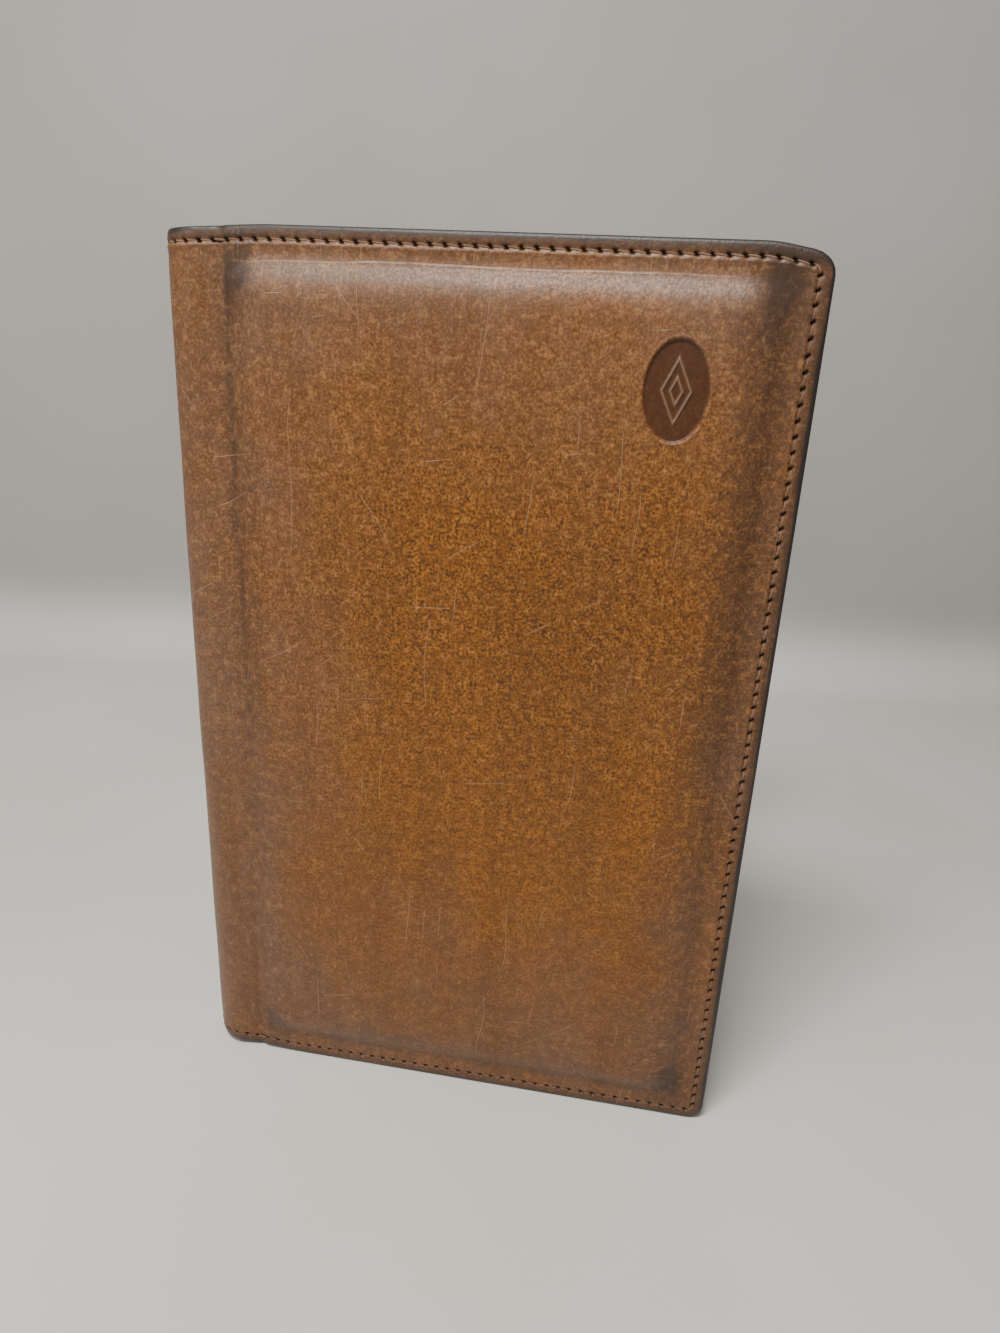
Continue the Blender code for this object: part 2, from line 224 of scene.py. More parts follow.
class Outline:
    """A round-cornered rectangle in the flat pattern. One that wraps the spine has no edge on its left."""

    def __init__(self, run, up, corner, left_corner=0.0, wraps=False):
        self.run, self.up = run, up
        self.corner, self.left_corner, self.wraps = corner, left_corner, wraps

    def from_sides(self, run, up):
        """(distance from the nearer of left and right, from the nearer of foot and top, corner radius)."""
        left, right = run - self.run[0], self.run[1] - run
        near_left = (left < right) & (not self.wraps)
        across = np.where(near_left, left, right)
        radius = np.where(near_left, self.left_corner, self.corner)
        return across, np.minimum(up - self.up[0], self.up[1] - up), radius

    def rounded(self, run, up):
        """Moves points of a square-cornered pattern so that its corners become round."""
        across, high, radius = self.from_sides(run, up)
        a, b = radius - across, radius - high
        shrink = 1 - np.maximum(a, b) / np.maximum(np.hypot(a, b), 1e-9)
        shrink = np.where((a > 0) & (b > 0), shrink, 0)
        inwards = np.where((run < sum(self.run) / 2) & (not self.wraps), 1, -1)
        upwards = np.where(up < sum(self.up) / 2, 1, -1)
        return run + inwards * a * shrink, up + upwards * b * shrink

    def inset(self, run, up):
        """How far in from the outline a point lies."""
        across, high, radius = self.from_sides(run, up)
        corner = (across < radius) & (high < radius)
        turned = radius - np.hypot(radius - across, radius - high)
        return np.where(corner, turned, np.minimum(across, high))

    def lines(self, step):
        """The grid lines of a piece with this outline, closer together where its edges are rounded."""
        (left, right), (low, high) = self.run, self.up
        margin = [x * MM for x in (0, 0.04, 0.15, 0.35, 0.65, 1.05, 1.5)]
        up_lines = [low + x for x in margin]
        up_lines += spaced(low + margin[-1], high - margin[-1], step)[1:-1]
        up_lines += [high - x for x in margin[::-1]]
        if self.wraps:
            bent = min(RUN_HINGE + CREASE_FROM_HINGE + CREASE_HALF_WIDTH, right - 2 * MM)
            run_lines = [0, 0.05 * MM, 0.3 * MM] + spaced(0.8 * MM, bent, 0.75 * MM)
            run_lines += spaced(bent, right - margin[-1], step)[1:-1]
        else:
            run_lines = [left + x for x in margin]
            run_lines += spaced(left + margin[-1], right - margin[-1], step)[1:-1]
        return run_lines + [right - x for x in margin[::-1]], up_lines


COVER = Outline((0, RUN_END), (0, HEIGHT), CORNER, wraps=True)
PANEL = Outline(
    (RUN_HINGE + PANEL_FROM_HINGE, RUN_END - PANEL_FROM_EDGE),
    (PANEL_FROM_FOOT, HEIGHT - PANEL_FROM_TOP),
    PANEL_CORNER,
    PANEL_CORNER,
)


SEAM_RADIUS = CORNER - STITCH_INSET
SEAM_STRAIGHT = RUN_END - CORNER
SEAM_TURN = SEAM_RADIUS * math.pi / 2
SEAM_LENGTH = 2 * (SEAM_STRAIGHT + SEAM_TURN) + HEIGHT - 2 * CORNER
STITCHES = round(SEAM_LENGTH / STITCH_LENGTH)
PITCH = SEAM_LENGTH / STITCHES


def seam_distance(run, up):
    """How far along the seam, from the foot of the spine, the nearest point of the seam lies."""
    a, b = RUN_END - run, np.minimum(up, HEIGHT - up)
    angle = np.arctan2(np.maximum(CORNER - a, 0), np.maximum(CORNER - b, 1e-9))
    turned = SEAM_STRAIGHT + SEAM_RADIUS * angle
    side = SEAM_STRAIGHT + SEAM_TURN + b - CORNER
    half = np.where((a < CORNER) & (b < CORNER), turned, np.where(b < a, run, side))
    return np.where(up < HEIGHT / 2, half, SEAM_LENGTH - half)


def seam_point(distance, across):
    """(run, up) of a point of the seam, across being how far inside the stitch line it lies."""
    half = np.minimum(distance, SEAM_LENGTH - distance)
    inset = STITCH_INSET + across
    angle = np.clip((half - SEAM_STRAIGHT) / SEAM_RADIUS, 0, math.pi / 2)
    past = np.maximum(half - SEAM_STRAIGHT - SEAM_TURN, 0)
    run = np.minimum(half, SEAM_STRAIGHT) + (CORNER - inset) * np.sin(angle)
    up = CORNER - (CORNER - inset) * np.cos(angle) + past
    return run, np.where(distance <= SEAM_LENGTH / 2, up, HEIGHT - up)


# --- lifts


def panel_shoulder(run, up):
    """0 at the foot of the padding and 1 on top of it, with a soft shoulder between."""
    (left, right), (low, high) = PANEL.run, PANEL.up
    x = np.abs(run - (left + right) / 2) - (right - left) / 2 + PANEL_CORNER
    z = np.abs(up - (low + high) / 2) - (high - low) / 2 + PANEL_CORNER
    outside = np.hypot(np.maximum(x, 0), np.maximum(z, 0)) + np.minimum(np.maximum(x, z), 0)
    depth = PANEL_CORNER - outside
    soft = PANEL_FOOT_ROUND * np.logaddexp(0, depth / PANEL_FOOT_ROUND)
    return 1 - (1 - np.clip(soft / PANEL_SHOULDER, 0, 1)) ** 2.7


def swollen_crown():
    """The crown that a cloth cover takes when it is held round the panel's outline and the filling pushes it
    out. Returns a function of run and up, from 0 at the outline to 1 where it stands highest."""
    across, high = PAD_CELLS
    runs, ups = np.linspace(*PANEL.run, across + 1), np.linspace(*PANEL.up, high + 1)
    top = np.arange(runs.size * ups.size).reshape(runs.size, ups.size)
    bottom = top.copy()
    bottom[1:-1, 1:-1] = top.size + np.arange((across - 1) * (high - 1)).reshape(across - 1, high - 1)
    inner = np.isin(top, bottom, invert=True)
    x, z = np.meshgrid(runs, ups, indexing="ij")
    points = [*zip(x.flat, z.flat, (inner * PAD_SLACK).flat)]
    points += [*zip(x[inner], z[inner], np.full(inner.sum(), -PAD_SLACK))]
    faces = []
    for sheet, order in ((top, 1), (bottom, -1)):
        corners = np.dstack((sheet[:-1, :-1], sheet[1:, :-1], sheet[1:, 1:], sheet[:-1, 1:]))
        faces += corners.reshape(-1, 4)[:, ::order].tolist()
    mesh = bpy.data.meshes.new("swelling")
    mesh.from_pydata(points, [], faces)
    pillow = add_object("swelling", mesh)
    pillow.vertex_groups.new(name="held").add(bottom.ravel().tolist(), 1, "REPLACE")
    cloth = pillow.modifiers.new("cloth", "CLOTH")
    settings = cloth.settings
    settings.quality = 6
    settings.mass = 0.3
    settings.tension_stiffness = settings.compression_stiffness = 40
    settings.bending_stiffness = 2
    settings.use_pressure = True
    settings.uniform_pressure_force = 4
    settings.effector_weights.gravity = 0
    settings.vertex_group_mass = "held"
    cloth.collision_settings.use_collision = False
    cloth.point_cache.frame_start, cloth.point_cache.frame_end = 1, PAD_FRAMES
    for frame_number in range(1, PAD_FRAMES + 1):
        bpy.context.scene.frame_set(frame_number)
    swollen = pillow.evaluated_get(bpy.context.evaluated_depsgraph_get()).data
    height = np.array([vert.co.z for vert in swollen.vertices])[top]
    bpy.data.objects.remove(pillow)
    bpy.data.meshes.remove(mesh)
    bpy.context.scene.frame_set(1)
    height = np.clip(height, 0, PAD_SWELL_CAP)
    height /= max(height.max(), 1e-9)

    def crown(run, up):
        i = np.clip((run - runs[0]) / (runs[1] - runs[0]), 0, across - 1e-6)
        j = np.clip((up - ups[0]) / (ups[1] - ups[0]), 0, high - 1e-6)
        i0, j0 = i.astype(int), j.astype(int)
        p, q = i - i0, j - j0
        near = height[i0, j0] * (1 - p) + height[i0 + 1, j0] * p
        far = height[i0, j0 + 1] * (1 - p) + height[i0 + 1, j0 + 1] * p
        return near * (1 - q) + far * q

    return crown


CROWN = swollen_crown()


def panel_rise(run, up):
    """The padding under the hide."""
    return PANEL_RISE * panel_shoulder(run, up) + PANEL_CROWN * CROWN(run, up)


def spine_swell(run, up):
    """The hide stands a little off the middle of the spine, between its worn ends."""
    height = up / HEIGHT
    return SPINE_SWELL * 4 * height * (1 - height) * (1 - smooth_step(run / (RUN_HINGE + 1 * MM)))


def crease(run, up):
    x = (run - RUN_HINGE - CREASE_FROM_HINGE) / CREASE_HALF_WIDTH
    return -CREASE_DEPTH * np.where(np.abs(x) < 1, 0.5 + 0.5 * np.cos(math.pi * np.clip(x, -1, 1)), 0)


def ripple(run, up):
    """The slow unevenness of a worn hide."""
    waves = (
        0.09 * np.sin(run * 95 + 1.3) * np.sin(up * 41 + 0.4)
        + 0.07 * np.sin(run * 31 - up * 57 + 2.1)
        + 0.04 * np.sin(run * 163 + up * 119 + 0.7)
        + 0.03 * np.sin(up * 211 - run * 73 + 4)
    )
    return waves * MM * smooth_step(COVER.inset(run, up) / (12 * MM))


def stitch_marks(run, up):
    """(lift, hole mask) of the groove that the stitches lie in, and of the needle holes."""
    across = COVER.inset(run, up) - STITCH_INSET
    distance = seam_distance(run, up)
    at_hole = np.cos(2 * math.pi * distance / PITCH)
    half_width = GROOVE_HALF_WIDTH * (1 + 0.25 * at_hole)
    x = np.clip(np.abs(across) / half_width, 0, 1)
    groove = -GROOVE_DEPTH * (0.5 + 0.5 * np.cos(math.pi * x))
    puff = np.where(across > 0, 0.22, 0.08) * MM * (0.6 - 0.4 * at_hole)
    lip = puff * bell(np.abs(across) - 1.1 * MM, 0.45 * MM)
    along = (distance / PITCH + 0.5) % 1 * PITCH - PITCH / 2
    slant = math.radians(35)
    a = (along * math.cos(slant) - across * math.sin(slant)) / (0.68 * MM)
    b = (along * math.sin(slant) + across * math.cos(slant)) / (0.44 * MM)
    hole = np.exp(-((a * a + b * b) ** 1.5))
    return groove + lip - HOLE_DEPTH * hole, hole


def stamp(run, up):
    """(lift, mask, mark) of the oval stamp, with a plain lozenge left standing in it."""
    x, z = run - RUN_END + STAMP_FROM_EDGE, up - HEIGHT + STAMP_FROM_TOP
    a, b = STAMP_RADII
    size = np.hypot(x / a, z / b)
    outside = (size - 1) * size / np.maximum(np.hypot(x / a**2, z / b**2), 1e-9)
    mask = smooth_step(0.5 - outside / (0.7 * MM))
    burr = 0.1 * MM * bell(outside - 0.6 * MM, 0.35 * MM)
    lift = burr - STAMP_DEPTH * mask
    mark = np.zeros(len(run))
    for scale in (1, 0.42):
        p, q = LOZENGE_RADII[0] * scale, LOZENGE_RADII[1] * scale
        off_line = (np.abs(x) / p + np.abs(z) / q - 1) / math.hypot(1 / p, 1 / q)
        mark = np.maximum(mark, bell(off_line, LOZENGE_LINE) * mask)
    return lift + 0.4 * MM * mark, mask, mark


# --- wrapping the pattern


class Side:
    """One cover at rest: its hinge line, and the directions along the cover and out of it."""

    def __init__(self, name, sign):
        self.name, self.sign = name, sign
        self.body = name + "_cover"
        self.hinge = np.array(JOINTS[name + "_hinge"]["pos_m"][:2])
        self.along = np.array([math.cos(OPENING), sign * math.sin(OPENING)])
        self.outward = np.array([-math.sin(OPENING), sign * math.cos(OPENING)])

    def section(self, run):
        """(points, outward normals) in plan of the hide's outer face."""
        run = np.asarray(run, float)[:, None]
        sign = self.sign
        angle = run / SPINE_RADIUS
        round_normal = np.hstack([-np.cos(angle), sign * np.sin(angle)])
        arc = np.array([SPINE_X, 0]) + SPINE_RADIUS * round_normal
        flat_normal = np.array([0.0, sign])
        bend = RUN_HINGE - RUN_ARC
        start = np.array([SPINE_X, sign * SPINE_RADIUS])
        end = self.hinge + self.along * bend + self.outward * HALF_LEATHER
        middle = self.hinge + np.array([-HALF_LEATHER * math.tan(OPENING / 2), sign * HALF_LEATHER])
        t = np.clip((run - RUN_ARC) / (2 * bend), 0, 1)
        curve = (1 - t) ** 2 * start + 2 * t * (1 - t) * middle + t**2 * end
        turn = (1 - t) * flat_normal + t * self.outward
        turn /= np.linalg.norm(turn, axis=1, keepdims=True)
        cover = self.hinge + self.along * (run - RUN_HINGE) + self.outward * HALF_LEATHER
        on_spine, on_bend = run < RUN_ARC, run < RUN_HINGE + bend
        points = np.where(on_spine, arc, np.where(on_bend, curve, cover))
        normals = np.where(on_spine, round_normal, np.where(on_bend, turn, self.outward))
        return points, normals

    def place(self, run, up, lift):
        """Points in the row frame. The ends of the spine are worn in, and the top corners droop."""
        points, normals = self.section(run)
        points = points + normals * np.asarray(lift, float)[:, None]
        near_spine = 1 - smooth_step(run / (2.2 * WEAR_REACH))
        top = SPINE_TOP_WEAR * (1 - smooth_step((HEIGHT - up) / WEAR_REACH))
        foot = SPINE_FOOT_WEAR * (1 - smooth_step(up / WEAR_REACH))
        near_corner = 1 - smooth_step((RUN_END - run) / WEAR_REACH)
        droop = CORNER_DROOP * near_corner * (1 - smooth_step((HEIGHT - up) / WEAR_REACH))
        return np.column_stack([points, up + near_spine * (foot - top) - droop])


# --- meshes


def grid(run_lines, up_lines, flip=False):
    """A bmesh of quads in the flat pattern."""
    body = bmesh.new()
    rows = [[body.verts.new((x, z, 0)) for z in up_lines] for x in run_lines]
    for left, right in zip(rows, rows[1:]):
        for i in range(len(up_lines) - 1):
            corners = (left[i], right[i], right[i + 1], left[i + 1])
            body.faces.new(corners[::-1] if flip else corners)
    return body


def refine(body, wanted):
    """Halves quads until none is much longer than wanted says for its place."""
    for _ in range(3):
        edges = set()
        centres = np.array([face.calc_center_median()[:2] for face in body.faces])
        sizes = wanted(centres[:, 0], centres[:, 1])
        for face, size in zip(body.faces, sizes):
            if len(face.verts) == 4 and max(edge.calc_length() for edge in face.edges) > 1.4 * size:
                edges.update(face.edges)
        if not edges:
            return
        bmesh.ops.subdivide_edges(body, edges=list(edges), cuts=1, use_grid_fill=True)


def hide_detail(has_stamp):
    """How fine the hide's outer face must be, as a function of run and up."""

    def wanted(run, up):
        run, up = COVER.rounded(run, up)
        across = np.abs(COVER.inset(run, up) - STITCH_INSET)
        size = np.ones(len(run))
        for limit, finer in zip(mm(2.6, 1.9, 1.3), FINER_STEPS):
            size = np.where(across < limit, finer, size)
        if has_stamp:
            x, z = run - RUN_END + STAMP_FROM_EDGE, up - HEIGHT + STAMP_FROM_TOP
            reach = np.hypot(x / STAMP_RADII[0], z / STAMP_RADII[1])
            for limit, finer in zip((1.5, 1.3, 1.15), FINER_STEPS):
                size = np.where(reach < limit, np.minimum(size, finer), size)
        return size

    return wanted


def set_attribute(mesh, name, values):
    vector = np.ndim(values) == 2
    kind = "FLOAT_VECTOR" if vector else "FLOAT"
    attribute = mesh.attributes.new(name, kind, "POINT")
    attribute.data.foreach_set("vector" if vector else "value", np.asarray(values, np.float32).ravel())


def new_piece(name, mesh, slot, nodes=(), body=None):
    """Adds a piece with the material that slot names, hides the CAD nodes that it replaces and attaches it to
    the body that it rides on.
    """
    piece = add_object(name, mesh)
    mesh.materials.append(MATERIALS[slot])
    mesh.shade_smooth()
    if body:
        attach(piece, body)
    if nodes:
        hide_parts(*nodes)
    return piece


def mesh_of(name, body):
    """The mesh of a bmesh, with its faces turned outwards."""
    bmesh.ops.recalc_face_normals(body, faces=body.faces)
    mesh = bpy.data.meshes.new(name)
    body.to_mesh(mesh)
    body.free()
    return mesh


def loft(body, rings, closed=False):
    """Joins rings of points with quads. The first and last are capped or, if closed, joined to each other."""
    rings = [[body.verts.new(point) for point in ring] for ring in rings]
    for a, b in zip(rings, rings[1:] + rings[:closed]):
        for i in range(len(a)):
            body.faces.new((a[i - 1], a[i], b[i], b[i - 1]))
    if not closed:
        body.faces.new(rings[0])
        body.faces.new(rings[-1])


def on_rim(outline, point):
    """Whether a point of a grid lies on its outline, where the two faces of a skin meet."""
    (left, right), (low, high) = outline.run, outline.up
    ends = [abs(point.y - low), abs(point.y - high), abs(point.x - right)]
    if not outline.wraps:
        ends.append(abs(point.x - left))
    return min(ends) < 0.001 * MM


def skin(name, side, outline, step, outer_lift, inner_lift, detail=None):
    """A closed skin between two lifts, whose faces meet at its outline. One that wraps the spine is filled
    across at the middle of it. Returns the mesh and the (run, up) of each of its points."""
    lines = outline.lines(step)
    outer, inner = grid(*lines), grid(*lines, flip=True)
    if detail:
        refine(outer, detail)
    joined = bmesh.new()
    flat_layer = joined.verts.layers.float_vector.new("pattern")
    rim = {}
    for body, lift in ((outer, outer_lift), (inner, inner_lift)):
        square = np.array([vert.co[:2] for vert in body.verts], float)
        run, up = outline.rounded(square[:, 0], square[:, 1])
        copies = []
        for vert, point, x, z in zip(body.verts, side.place(run, up, lift(run, up)), run, up):
            key = tuple(np.round(vert.co[:2], 7))
            if body is inner and key in rim:
                copies.append(rim[key])
                continue
            copies.append(joined.verts.new(point))
            copies[-1][flat_layer] = (x, z, 0)
            if on_rim(outline, vert.co):
                rim[key] = copies[-1]
        body.verts.index_update()
        for face in body.faces:
            joined.faces.new([copies[vert.index] for vert in face.verts])
        body.free()
    cut = [edge for edge in joined.edges if edge.is_boundary]
    if cut:
        bmesh.ops.contextual_create(joined, geom=cut)
    mesh = mesh_of(name, joined)
    flat = np.empty(len(mesh.vertices) * 3, np.float32)
    mesh.attributes["pattern"].data.foreach_get("vector", flat)
    return mesh, flat.reshape(-1, 3)[:, :2]


def edge_drop(outline, run, up, reach, depth):
    """The rounding of an edge: depth at the outline, nothing past reach."""
    x = 1 - np.clip(outline.inset(run, up) / reach, 0, 1)
    return -depth * (1 - (1 - x**EDGE_SQUARENESS) ** (1 / EDGE_SQUARENESS))


def slab(
    name, side, outline, lifts, slot, nodes, body, shape=None, relief=None, reach=0.5 * MM, step=5 * MM
):
    """A soft-edged flat piece between two lifts. shape moves both of its faces, and relief raises only the
    inner one, the one that is seen when the folio is open."""
    half = (lifts[0] - lifts[1]) / 2

    def outer_lift(run, up):
        lift = lifts[0] + edge_drop(outline, run, up, reach, half)
        return lift + shape(run, up) if shape else lift

    def inner_lift(run, up):
        lift = lifts[1] - edge_drop(outline, run, up, reach, half)
        if relief:
            lift = lift - relief(run, up) * smooth_step(outline.inset(run, up) / (2 * MM))
        return lift + shape(run, up) if shape else lift

    mesh, _ = skin(name, side, outline, step, outer_lift, inner_lift)
    return new_piece(name, mesh, slot, nodes, body)


def leather_thickness(run):
    """The hide is pared thinner round the spine."""
    return SPINE_LEATHER + (LEATHER - SPINE_LEATHER) * smooth_step((run - RUN_ARC) / (4 * MM))


def smudges_and_shade(run, up):
    """Where the hide is darkened: patches at the corners of the padding, stain and painted shade along its
    free edge, painted shade in the fold at the padding's left foot and towards the foot of the hide, a darker
    band along its left shoulder, and a dark strip along the top edge.
    """
    total = np.zeros(len(run))
    (left, right), (low, high) = PANEL.run, PANEL.up
    corners = ((left, high, 0.9, 3, 3), (right, high, 0.55, 2, 2), (right, low, 0.8, 3, 5))
    for x, z, strength, aside, upright in (*corners, (left, low, 0.4, 4, 5)):
        inward = math.copysign(aside * MM, (left + right) / 2 - x)
        a = (run - x - inward) / (4 * MM)
        b = (up - z - math.copysign(upright * MM, (low + high) / 2 - z)) / (6 * MM)
        total += strength * np.exp(-(a * a + b * b))
    height = smooth_step(up / HEIGHT)
    # Stain and painted shade along the padding's right shoulder, which turns away from the light.
    total += (0.3 + 0.32 * height) * bell(run - right + 1 * MM, 10 * MM)
    # Painted shade in the fold at the foot of the padding's left shoulder.
    fold = left - 0.7 * MM + 0.4 * MM * np.sin(up * 60) + 0.2 * MM * np.sin(up * 173)
    total += 0.6 * height * bell(run - fold, 1.1 * MM) * smooth_step((HEIGHT - up) / (16 * MM))
    total += 0.28 * bell(run - left - 3 * MM, 5 * MM)
    # Painted shade towards the foot of the hide.
    total += 0.2 * bell(up, 14 * MM)
    total += 0.5 * (1 - smooth_step((HEIGHT - up - 2 * MM) / (1.4 * MM)))
    return np.clip(total, 0, 1)


def rosiness_and_sheen(run, up):
    """Where the hide is paler and pinker: the spine, top and foot, and less so its free edge. At the top it
    is partly a painted sheen.
    """
    # The top is paler and pinker partly as a painted sheen.
    top = 1 - smooth_step((HEIGHT - up) / (72 * MM))
    foot = 0.95 * (1 - smooth_step(up / (95 * MM)))
    left = 1 - smooth_step((run - RUN_ARC) / (52 * MM))
    right = 0.75 * (1 - smooth_step((RUN_END - run) / (38 * MM)))
    return 1 - (1 - top) * (1 - foot) * (1 - left) * (1 - right)


def make_hide(side):
    """The outer leather, from the middle of the spine to the free edge."""
    is_front = side.name == "front"

    def outer_lift(run, up):
        lift = panel_rise(run, up) + crease(run, up) + ripple(run, up) + spine_swell(run, up)
        lift += edge_drop(COVER, run, up, EDGE_REACH, leather_thickness(run) / 2)
        lift += stitch_marks(run, up)[0]
        return lift + stamp(run, up)[0] if is_front else lift

    def inner_lift(run, up):
        thickness = leather_thickness(run)
        lift = panel_rise(run, up) + spine_swell(run, up) - thickness
        return lift - edge_drop(COVER, run, up, INNER_EDGE_REACH, thickness / 2)

    name = side.name + "_hide"
    mesh, flat = skin(name, side, COVER, MESH_STEP, outer_lift, inner_lift, hide_detail(is_front))
    run, up = flat[:, 0], flat[:, 1]
    _, stamped, mark = stamp(run, up)
    values = {
        "edge": COVER.inset(run, up),
        # the needle holes, which the hide's material paints dark as shade
        "hole": stitch_marks(run, up)[1],
        "stamp": stamped * is_front,
        "mark": mark * is_front,
        "smudge": smudges_and_shade(run, up),
        "rosy": rosiness_and_sheen(run, up),
    }
    for attribute, value in values.items():
        set_attribute(mesh, attribute, value)
    nodes = [side.name + "_outer_leather"] + ["spine_leather"] * is_front
    hide = new_piece(name, mesh, "tan_leather", nodes)
    bend_at_hinge(hide, side)


def bend_at_hinge(piece, side):
    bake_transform(piece)


def inside_panel(gap, corner):
    """An outline that lies inside the padded panel's."""
    (left, right), (low, high) = PANEL.run, PANEL.up
    return Outline((left + gap, right - gap), (low + gap, high - gap), corner, corner)


def make_padding(side):
    """The foam under the hide, crowned as the simulated cover is."""
    outline = inside_panel(3.5 * MM, PANEL_CORNER - 3.5 * MM)

    def top_lift(run, up):
        depth = np.maximum(panel_rise(run, up) - LEATHER - 0.08 * MM - PAD_FLOOR, 0)
        return PAD_FLOOR + depth * (1 + edge_drop(outline, run, up, 1.5 * MM, 1))

    def bottom_lift(run, up):
        return np.full(len(run), PAD_FLOOR)

    name = side.name + "_padding"
    mesh, _ = skin(name, side, outline, 4 * MM, top_lift, bottom_lift)
    new_piece(name, mesh, "foam", [side.name + "_foam_pad"], side.body)


def make_core(side):
    """The board that stiffens a cover, with its edges pared away under the shoulders of the padding."""
    outline = inside_panel(4.5 * MM, 3 * MM)
    nodes = [side.name + "_board"]
    slab(side.name + "_core", side, outline, CORE_LIFTS, "greyboard", nodes, side.body, reach=0.6 * MM)


def make_stiffener(side):
    """The thin card between the hide and the lining of the spine."""
    outline = Outline((0, RUN_ARC - 1 * MM), (5 * MM, HEIGHT - 5 * MM), 2 * MM, wraps=True)
    nodes = ["spine_reinforcement"] * (side.name == "front")
    name = side.name + "_stiffener"
    slab(name, side, outline, STIFFENER_LIFTS, "greyboard", nodes, "spine", reach=0.3 * MM)


def make_lining(side):
    """The cloth inside a cover, puckered a little along the hinge."""
    inset = LINING_INSET
    outline = Outline((0, RUN_END - inset), (inset, HEIGHT - inset), CORNER - inset, wraps=True)
    half = (LINING_LIFTS[0] - LINING_LIFTS[1]) / 2

    def outer_lift(run, up):
        return LINING_LIFTS[0] + edge_drop(outline, run, up, 0.4 * MM, half)

    def inner_lift(run, up):
        puckers = 0.12 * MM * np.sin(up * 260 + np.sin(up * 47) * 3)
        near_hinge = bell(run - RUN_HINGE - 1.5 * MM, 3 * MM)
        edge = edge_drop(outline, run, up, 0.4 * MM, half)
        return LINING_LIFTS[1] - edge + puckers * near_hinge * smooth_step(outline.inset(run, up) / (4 * MM))

    name = side.name + "_inner_cloth"
    mesh, _ = skin(name, side, outline, 5 * MM, outer_lift, inner_lift)
    nodes = [side.name + "_lining"] + ["spine_lining"] * (side.name == "front")
    lining = new_piece(name, mesh, "lining", nodes)
    bend_at_hinge(lining, side)


def across_cover(outline_run):
    """Distances from the hinge line, as runs."""
    return tuple(RUN_HINGE + x for x in outline_run)


def hem(top, depth, rise):
    """The folded hem along the top of a pocket."""

    def relief(run, up):
        return rise * smooth_step((up - top + depth) / (0.8 * MM))

    return relief


def pad_panel_shape(run, up):
    """The panel is drawn down to the lining where it is sewn, on all sides but its top."""
    left, right = run - RUN_HINGE - 4 * MM, RUN_END - 0.5 * MM - run
    near = np.minimum(np.minimum(left, right), up - 0.5 * MM)
    return PAD_PANEL_PINCH * (1 - smooth_step((near - 1.5 * MM) / (4.5 * MM)))


def inner_face(side, run, up):
    """The lift of whatever lies innermost along the margin of a cover."""
    if side.name == "front":
        on_pocket = (run > RUN_HINGE + 5 * MM) & (up < POCKET_TOP)
        return np.where(on_pocket, POCKET_LIFTS[1], LINING_LIFTS[1])
    on_panel = (run > RUN_HINGE + 4 * MM) & (up < PAD_PANEL_TOP)
    return np.where(on_panel, PAD_PANEL_LIFTS[1] + pad_panel_shape(run, up), LINING_LIFTS[1])


def make_pocket(name, side, across, up, corners, lifts, rests_on, nodes, **shape):
    """A flat leather panel inside a cover. across gives its sides, as distances from the hinge line."""
    outline = Outline(across_cover(across), up, *corners)
    pocket = slab(name, side, outline, lifts, "pocket_leather", nodes, side.body, **shape)


def make_pockets(front, back):
    """The document pocket and the three stepped card slots of the front cover, and the back cover's panel."""
    margin = 0.5 * MM
    corners = (CORNER - margin, 1.5 * MM)
    across, up = (5 * MM, COVER_WIDTH - margin), (margin, POCKET_TOP)
    place = ("papers_pocket", front, across, up, corners, POCKET_LIFTS)
    make_pocket(*place, "front_inner_cloth", ["document_pocket"], relief=hem(POCKET_TOP, 7 * MM, 0.2 * MM))
    for node, lifts, top in zip(("upper", "middle", "lower"), CARD_LIFTS, CARD_TOPS):
        place = ("cards_" + node, front, CARD_ACROSS, (CARD_FOOT, top), (2.5 * MM, 2.5 * MM), lifts)
        relief = hem(top, 4 * MM, 0.15 * MM)
        make_pocket(*place, "papers_pocket", ["card_slot_" + node], relief=relief, step=4 * MM)
    across, up = (4 * MM, COVER_WIDTH - margin), (margin, PAD_PANEL_TOP)
    place = ("pad_holder", back, across, up, corners, PAD_PANEL_LIFTS)
    relief = hem(PAD_PANEL_TOP, 8 * MM, 0.1 * MM)
    rests_on = "back_inner_cloth"
    make_pocket(*place, rests_on, ["pad_panel"], shape=pad_panel_shape, relief=relief, step=3 * MM)


# --- stitches


def sew(name, side, points, count, level, outwards=1, nodes=(), body=None):
    """A row of stitches. points(distance, across) gives (run, up), with distance counted in stitches.
    Each one rises out of one hole, lies along the leather and dips into the next. level(run, up) is the lift
    of the leather there."""
    rings, sides = 9, 8
    turns = np.arange(sides) * 2 * math.pi / sides
    grids = np.meshgrid(np.arange(count), np.linspace(0.03, 0.97, rings), turns, indexing="ij")
    stitch, t, turn = (values.ravel() for values in grids)
    radius = THREAD_RADIUS * (1 - 0.75 * np.abs(2 * t - 1) ** 6)
    across = (0.5 - t) * 0.5 * MM + radius * np.cos(turn)
    run, up = points(stitch + t, across)
    arch = -HOLE_DEPTH + (HOLE_DEPTH - 0.24 * MM) * np.sin(math.pi * t) ** 0.45
    lift = level(run, up) + outwards * (arch + radius * np.sin(turn))
    rows = np.reshape(side.place(run, up, lift), (count, rings, sides, 3))
    thread = bmesh.new()
    for row in rows:
        loft(thread, row)
    mesh = mesh_of(name, thread)
    # How far into its holes each point of the thread dips; the thread's material paints that as shade.
    set_attribute(mesh, "deep", np.abs(2 * t - 1) ** 4)
    return new_piece(name, mesh, "thread", nodes, body)


